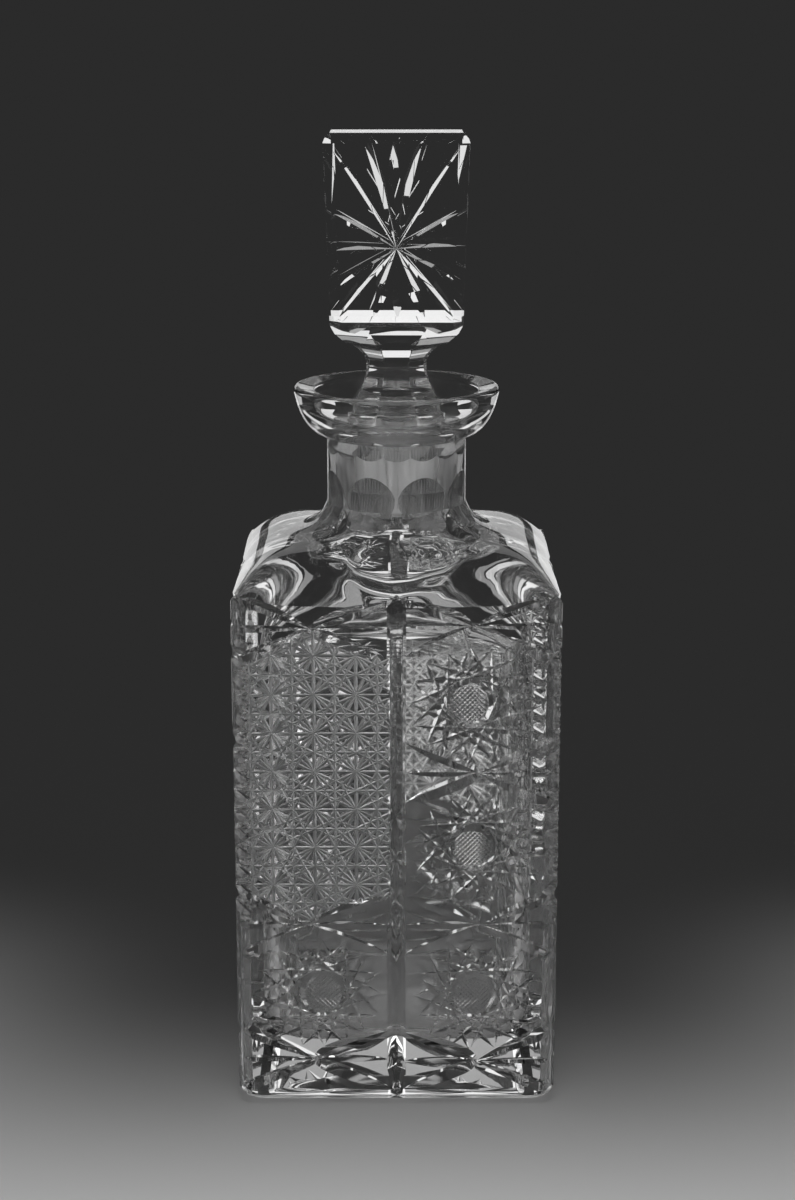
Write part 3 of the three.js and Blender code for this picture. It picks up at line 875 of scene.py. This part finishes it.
room = dict(
    floorGrey=0.6, floorHalf=60.0, floorRoughness=0.7, worldGrey=0.04,
    # lamps that only the glass sees, so that its cuts shine: name, place, aim, size, power, spread
    glassLamps=(
        ("leftBox", (-0.125, 0.327, 0.075), (0, 0, 0.075), (0.08, 0.15), 0.024, 150),
        ("rightBox", (0.125, 0.327, 0.075), (0, 0, 0.075), (0.08, 0.15), 0.024, 150),
        ("lowBox", (0, 1.6, 0.38), (0, 0, 0.12), (1.5, 0.26), 0.45, 120),
        ("backBox", (0, 1.5, 0.7), (0, 0, 0.12), (1.8, 0.3), 0.25, 120),
        ("frontLeftBox", (-0.47, -0.88, 0.62), (0, 0, 0.12), (0.34, 0.9), 0.12, 120),
        ("frontRightBox", (0.47, -0.88, 0.62), (0, 0, 0.12), (0.34, 0.9), 0.12, 120)),
    # lamps that only the floor takes light from
    floorLamps=(
        ("floorBox", (0, -0.2, 0.9), (0, -0.2, 0), (0.8, 0.1), 0.5, 26),
        ("floorLeftBox", (-0.24, 0.0, 0.8), (-0.24, 0.0, 0), (0.16, 0.1), 0.03, 18),
        ("floorRightBox", (0.24, 0.0, 0.8), (0.24, 0.0, 0), (0.16, 0.1), 0.03, 18)),
)


def makeFloor():
    # a plain pale floor
    h = room["floorHalf"]
    mesh = bpy.data.meshes.new("studioFloor")
    mesh.from_pydata([(-h, -h, 0), (h, -h, 0), (h, h, 0), (-h, h, 0)], [], [[0, 1, 2, 3]])
    floor = bpy.data.objects.new("studioFloor", mesh)
    bpy.context.scene.collection.objects.link(floor)
    material = bpy.data.materials.new("paleFloor")
    material.use_nodes = True
    shader = material.node_tree.nodes["Principled BSDF"]
    shader.inputs["Base Color"].default_value = (room["floorGrey"],) * 3 + (1,)
    shader.inputs["Roughness"].default_value = room["floorRoughness"]
    shader.inputs["Specular IOR Level"].default_value = 0.0
    mesh.materials.append(material)


def softBox(name, place, aim, size, power, spread, onGlass):
    # an area lamp that shines on the glass or on the floor, and isn't seen itself
    light = bpy.data.lights.new(name, "AREA")
    light.shape = "RECTANGLE"
    light.size, light.size_y = size
    light.energy = power
    light.spread = np.radians(spread)
    lamp = bpy.data.objects.new(name, light)
    lamp.location = place
    facing = Vector(np.array(aim) - np.array(place))
    lamp.rotation_euler = facing.to_track_quat("-Z", "Y").to_euler()
    lamp.visible_camera = False
    lamp.visible_glossy = lamp.visible_transmission = onGlass
    lamp.visible_diffuse = not onGlass
    bpy.context.scene.collection.objects.link(lamp)


def makeWorld():
    # the camera, and rays that leave the glass, see the world as dark as the far floor
    world = bpy.data.worlds.new("studio")
    bpy.context.scene.world = world
    world.use_nodes = True
    nodes, links = world.node_tree.nodes, world.node_tree.links
    path = nodes.new("ShaderNodeLightPath")
    tone = nodes.new("ShaderNodeMapRange")
    tone.inputs["To Min"].default_value = room["worldGrey"]
    tone.inputs["To Max"].default_value = room["worldGrey"] * room["floorGrey"]
    seen = path.outputs["Is Camera Ray"]
    for name in ("Is Glossy Ray", "Is Transmission Ray"):
        larger = nodes.new("ShaderNodeMath")
        larger.operation = "MAXIMUM"
        links.new(seen, larger.inputs[0])
        links.new(path.outputs[name], larger.inputs[1])
        seen = larger.outputs[0]
    links.new(seen, tone.inputs["Value"])
    links.new(tone.outputs["Result"], nodes["Background"].inputs["Color"])


# the camera fitted to the photograph: pixels, degrees and millimetres
view = dict(focalPixels=2330.0, pitch=14.3, distance=709.7, aimHeight=144.1, centreX=396.5,
            frame=(795, 1200), sensor=36.0, nearest=0.02)


def makeCamera():
    # at its distance from a point on the axis, pitched down at it
    width, height = view["frame"]
    data = bpy.data.cameras.new("camera")
    data.sensor_fit = "AUTO"
    data.sensor_width = view["sensor"]
    data.lens = view["focalPixels"] * view["sensor"] / height
    data.shift_x = (width / 2 - view["centreX"]) / height
    data.clip_start = view["nearest"]
    camera = bpy.data.objects.new("camera", data)
    pitch, away = radians(view["pitch"]), view["distance"]
    camera.location = (0, -away * cos(pitch) * mm, (view["aimHeight"] + away * sin(pitch)) * mm)
    camera.rotation_euler = (radians(90) - pitch, 0, 0)
    bpy.context.scene.collection.objects.link(camera)
    bpy.context.scene.camera = camera


makeFloor()
for lamp in room["glassLamps"]:
    softBox(*lamp, onGlass=True)
for lamp in room["floorLamps"]:
    softBox(*lamp, onGlass=False)
makeWorld()
makeCamera()
print("floor, lamps, world and camera made")

# light crosses many cut faces before it leaves the glass
bounces = dict(all=32, through=32, clear=16, glossy=12)
bpy.context.scene.view_settings.view_transform = "Standard"
bpy.context.scene.cycles.max_bounces = bounces["all"]
bpy.context.scene.cycles.transmission_bounces = bounces["through"]
bpy.context.scene.cycles.transparent_max_bounces = bounces["clear"]
bpy.context.scene.cycles.glossy_bounces = bounces["glossy"]
